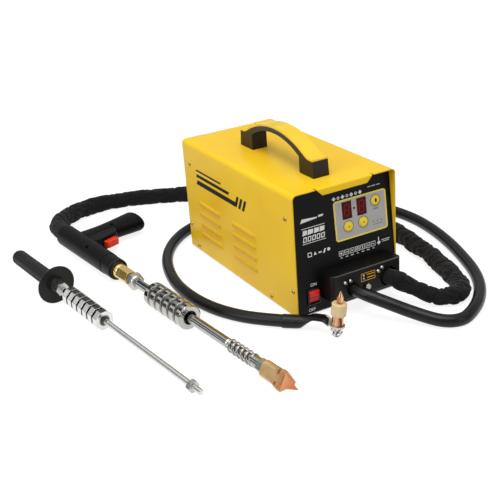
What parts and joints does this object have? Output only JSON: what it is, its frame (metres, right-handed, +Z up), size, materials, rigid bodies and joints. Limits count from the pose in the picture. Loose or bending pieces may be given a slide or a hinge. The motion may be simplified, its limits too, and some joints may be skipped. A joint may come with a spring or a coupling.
{
  "type": "dent pulling welder",
  "caption": "Dent pulling spot welder: sheet metal case with display and handle, sleeved pulling gun with sliding weight, earth cable with electrode, and a slide hammer.",
  "frame": {"origin": "on the floor under the middle of the case", "axes": "front of the case faces -Y, +X is to the right seen from the front, +Z is up"},
  "size_m": [0.7364, 0.8896, 0.275],
  "materials": {
    "yellow_paint": "satin powder coat",
    "black_paint": "fine textured powder coat",
    "zinc_steel": "bare plated steel",
    "screw_zinc": "bright plated",
    "black_rubber": "matt",
    "handle_black": "satin moulded",
    "yellow_plastic": "satin moulded",
    "overlay_film": "printed film",
    "display_red": "dark red filter",
    "button_yellow": "satin",
    "board_green": "solder mask",
    "switch_red": "gloss moulded",
    "switch_black": "gloss moulded",
    "housing_black": "satin moulded",
    "copper": "copper, drawn",
    "brass": "turned",
    "core_steel": "varnished laminations",
    "winding": "taped coil",
    "aluminium": "extruded",
    "cable_rubber": "matt jacket",
    "cream_insulator": "moulded",
    "sleeve_fabric": "woven sleeve",
    "grip_black": "fine grain moulded",
    "trigger_red": "moulded",
    "chrome": "polished plate",
    "spring_steel": "drawn wire"
  },
  "bodies": {
    "welder": {"cover_shell": "yellow_paint", "base_pan": "zinc_steel", "front_panel": "black_paint", "rear_panel": "black_paint", "cover_screws": "screw_zinc", "rubber_feet": "black_rubber", "handle_arch": "handle_black", "handle_strip": "yellow_plastic", "handle_screws": "zinc_steel", "control_overlay": "overlay_film", "digit_displays": "display_red", "panel_board": "board_green", "board_standoffs": "brass", "switch_frame": "switch_black", "terminal_housing": "housing_black", "terminal_screws": "screw_zinc", "housing_bolt": "screw_zinc", "terminal_studs": "brass", "terminal_nuts": "brass", "earth_busbar": "copper", "gun_busbar": "copper", "transformer_core": "core_steel", "primary_coil": "winding", "secondary_coil": "copper", "transformer_brackets": "zinc_steel", "heat_sink": "aluminium", "thyristor_module": "housing_black", "cord_gland": "housing_black", "earth_cable": "cable_rubber", "heat_shrink": "cable_rubber", "cable_lug": "chrome", "electrode_pin": "copper", "electrode_insulator": "cream_insulator", "electrode_nut": "chrome", "gun_cable": "sleeve_fabric", "gun_shell_upper": "grip_black", "gun_shell_lower": "grip_black", "gun_shell_screws": "zinc_steel", "gun_nose_ring": "grip_black", "trigger_switch": "switch_black", "gun_lead": "copper", "brass_adapter": "brass", "gun_lock_nut": "chrome", "gun_rod": "chrome", "gun_spring": "spring_steel", "spring_collar": "chrome", "head_nut": "chrome", "pull_head": "copper"},
    "rocker": {"switch_rocker": "switch_red"},
    "minus_button": {"minus_button": "button_yellow"},
    "plus_button": {"plus_button": "button_yellow"},
    "mode_button": {"mode_button": "button_yellow"},
    "trigger": {"gun_trigger": "trigger_red"},
    "gun_weight": {"gun_weight": "chrome"},
    "hammer": {"hammer_grip": "grip_black", "hammer_rod": "chrome", "hammer_rear_nut": "chrome", "hammer_end_nut": "chrome"},
    "hammer_slider": {"hammer_slider": "chrome"}
  },
  "joints": [
    {"name": "rocker_tip", "type": "hinge", "parent": "welder", "child": "rocker", "pos_m": [-0.067, -0.185, 0.036], "axis": [-1, 0, 0], "range_deg": [0, 20]},
    {"name": "minus_button_press", "type": "slide", "parent": "welder", "child": "minus_button", "axis": [0, 0.9951, -0.0993], "range_m": [0, 0.0012], "stiffness_N_per_m": 300},
    {"name": "plus_button_press", "type": "slide", "parent": "welder", "child": "plus_button", "axis": [0, 0.9951, -0.0993], "range_m": [0, 0.0012], "stiffness_N_per_m": 300},
    {"name": "mode_button_press", "type": "slide", "parent": "welder", "child": "mode_button", "axis": [0, 0.9951, -0.0993], "range_m": [0, 0.0012], "stiffness_N_per_m": 300},
    {"name": "trigger_pull", "type": "slide", "parent": "welder", "child": "trigger", "axis": [-0.2468, 0.9691, 0], "range_m": [0, 0.006], "stiffness_N_per_m": 400},
    {"name": "gun_weight_slide", "type": "slide", "parent": "welder", "child": "gun_weight", "axis": [0.0922, -0.9957, 0], "range_m": [-0.0545, 0.111]},
    {"name": "hammer_lift", "type": "slide", "parent": "welder", "child": "hammer", "axis": [0, 0, 1], "range_m": [0, 0.15]},
    {"name": "hammer_slide", "type": "slide", "parent": "hammer", "child": "hammer_slider", "axis": [0.1544, -0.986, -0.0635], "range_m": [-0.027, 0.2355]}
  ]
}
